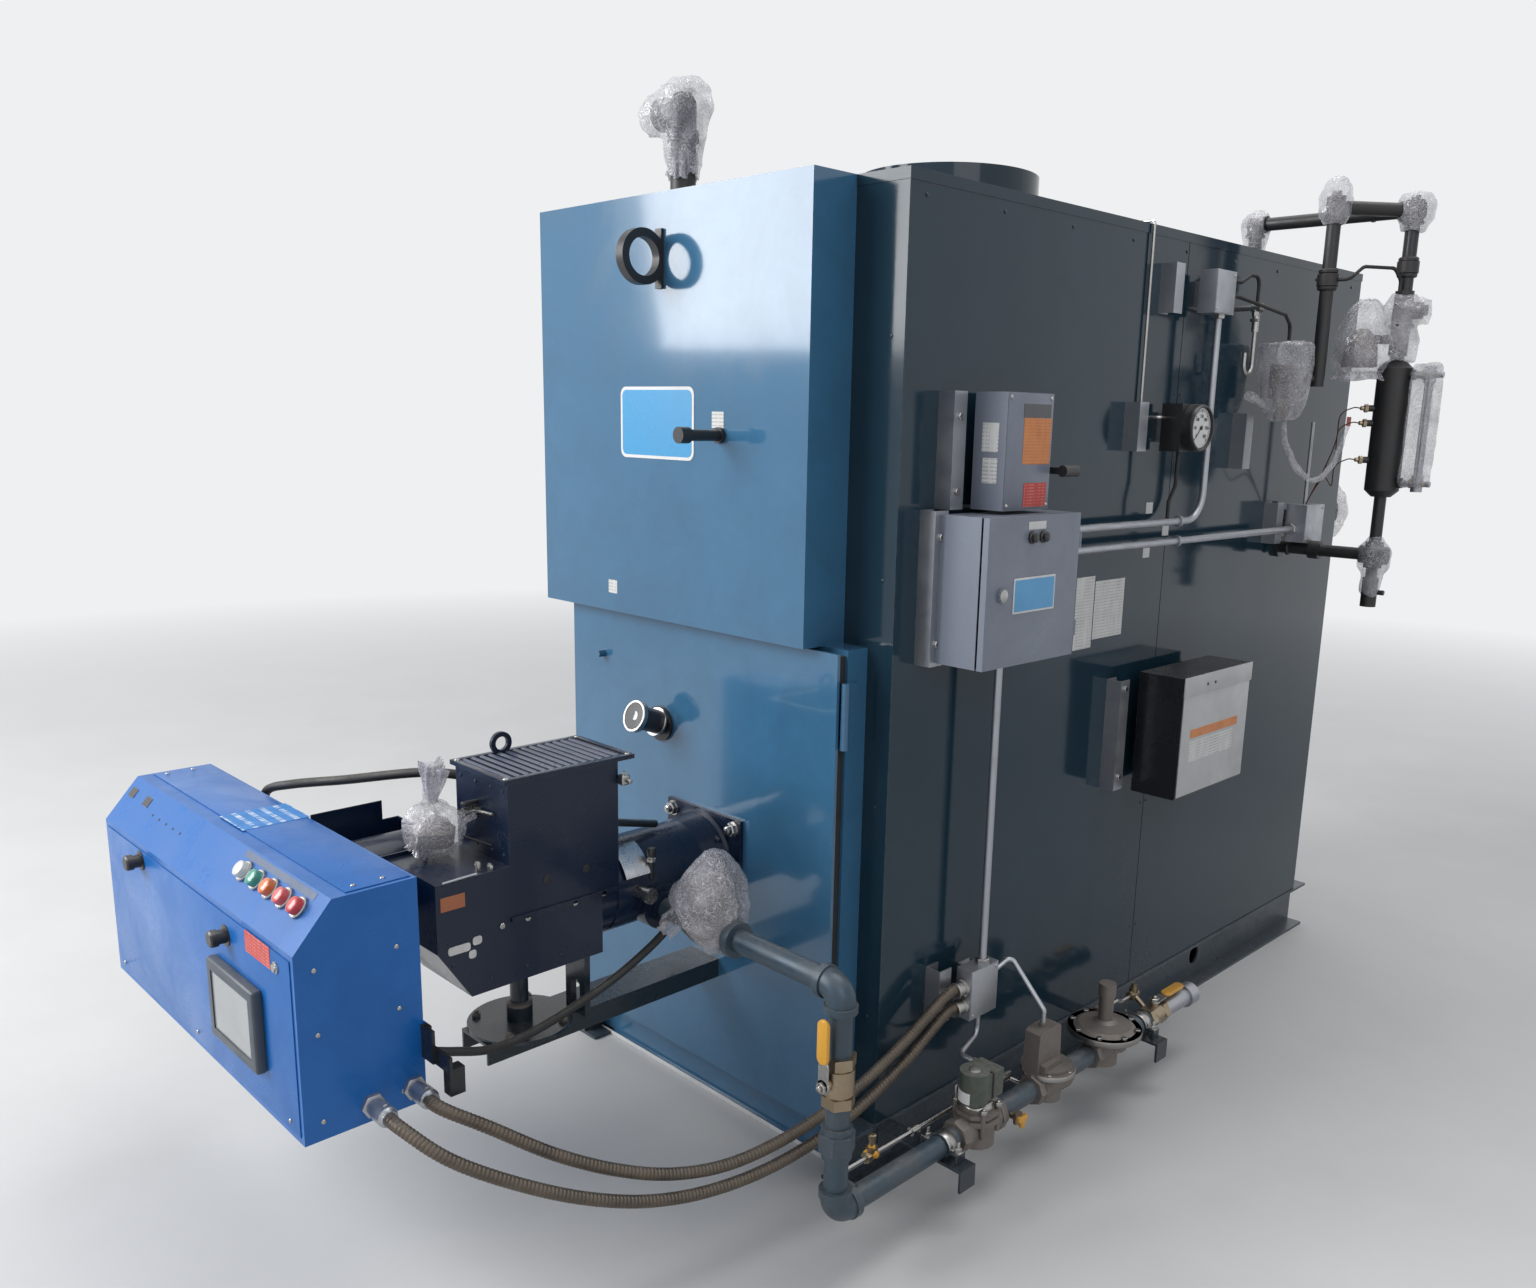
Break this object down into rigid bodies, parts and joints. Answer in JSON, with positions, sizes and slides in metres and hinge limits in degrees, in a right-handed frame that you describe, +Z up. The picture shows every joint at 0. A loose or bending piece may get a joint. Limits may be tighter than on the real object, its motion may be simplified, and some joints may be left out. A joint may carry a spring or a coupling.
{
  "type": "package steam boiler",
  "caption": "Skid mounted package steam boiler with front gas burner, control cabinet, gas train, wall boxes and a bagged water column.",
  "frame": {"origin": "on the floor under the centre of the jacket", "axes": "+X to the control side, +Y from the burner end to the rear, +Z up"},
  "size_m": [1.728, 3.46, 2.436],
  "materials": {
    "skid": "satin",
    "jacket": "gloss",
    "front": "gloss",
    "gasket": "matt",
    "black_plastic": "matt",
    "steel": "satin",
    "black_iron": "satin",
    "film": "crumpled clear film",
    "burner": "satin",
    "support": "satin",
    "cabinet": "gloss",
    "screen": "gloss",
    "lamps": "gloss",
    "gas_pipe": "satin",
    "brass": "satin",
    "lever": "gloss",
    "cast_grey": "cast",
    "coil_green": "satin",
    "galvanised": "galvanised",
    "flex": "satin",
    "box_grey": "satin",
    "document_grey": "satin",
    "gauge_black": "satin",
    "glass": "clear"
  },
  "bodies": {
    "boiler": {"skid_rails": "skid", "skid_cross_members": "skid", "front_skirt": "front", "boiler_block": "jacket", "side_panels": "jacket", "end_panels": "jacket", "top_cap": "jacket", "lower_front_box": "front", "burner_door": "front", "door_gasket": "gasket", "door_hinges": "front", "upper_cover_box": "front", "lifting_ring": "black_plastic", "cover_handle": "black_plastic", "sight_port": "steel", "flue_collar": "jacket", "steam_pipe": "black_iron", "jacket_wraps": "film", "burner_tube": "burner", "burner_housing": "burner", "air_grille": "burner", "burner_support": "support", "burner_wraps": "film", "burner_cabinet": "cabinet", "cabinet_screen": "screen", "cabinet_lights": "lamps", "fan_tray": "burner", "switch_hose": "black_plastic", "gas_pipe_upper": "gas_pipe", "gas_pipe_main": "gas_pipe", "gas_inlet_pipe": "galvanised", "ball_valves": "brass", "pipe_feet": "support", "pilot_line": "gas_pipe", "shutoff_valve": "cast_grey", "solenoid_coil": "coil_green", "gas_actuator": "cast_grey", "gas_regulator": "cast_grey", "junction_boxes": "galvanised", "conduit_runs": "galvanised", "control_cables": "black_plastic", "flex_conduit_upper": "flex", "flex_conduit_lower": "flex", "gas_valve_hose": "black_plastic", "wall_struts": "galvanised", "switch_box": "box_grey", "enclosure_body": "box_grey", "document_box": "document_grey", "pressure_gauge": "gauge_black", "pressure_piping": "steel", "column_piping": "black_iron", "water_column": "black_iron", "gauge_glass": "glass", "column_wraps": "film"},
    "front_valve_lever": {"valve_lever_front": "lever"},
    "rear_valve_lever": {"valve_lever_rear": "lever"},
    "control_door": {"enclosure_door": "box_grey"},
    "disconnect_handle": {"switch_lever": "black_plastic"}
  },
  "joints": [
    {"name": "front_valve_turn", "type": "hinge", "parent": "boiler", "child": "front_valve_lever", "pos_m": [0.7, -1.418, 0.452], "axis": [0, 1, 0], "range_deg": [0, 90]},
    {"name": "rear_valve_turn", "type": "hinge", "parent": "boiler", "child": "rear_valve_lever", "pos_m": [0.7, -0.164, 0.209], "axis": [0, 0, 1], "range_deg": [-90, 0]},
    {"name": "control_door_swing", "type": "hinge", "parent": "boiler", "child": "control_door", "pos_m": [0.684, -0.65, 1.343], "axis": [0, 0, 1], "range_deg": [0, 110]},
    {"name": "disconnect_throw", "type": "hinge", "parent": "boiler", "child": "disconnect_handle", "pos_m": [0.621, -0.708, 1.583], "axis": [0, 1, 0], "range_deg": [-45, 45]}
  ]
}
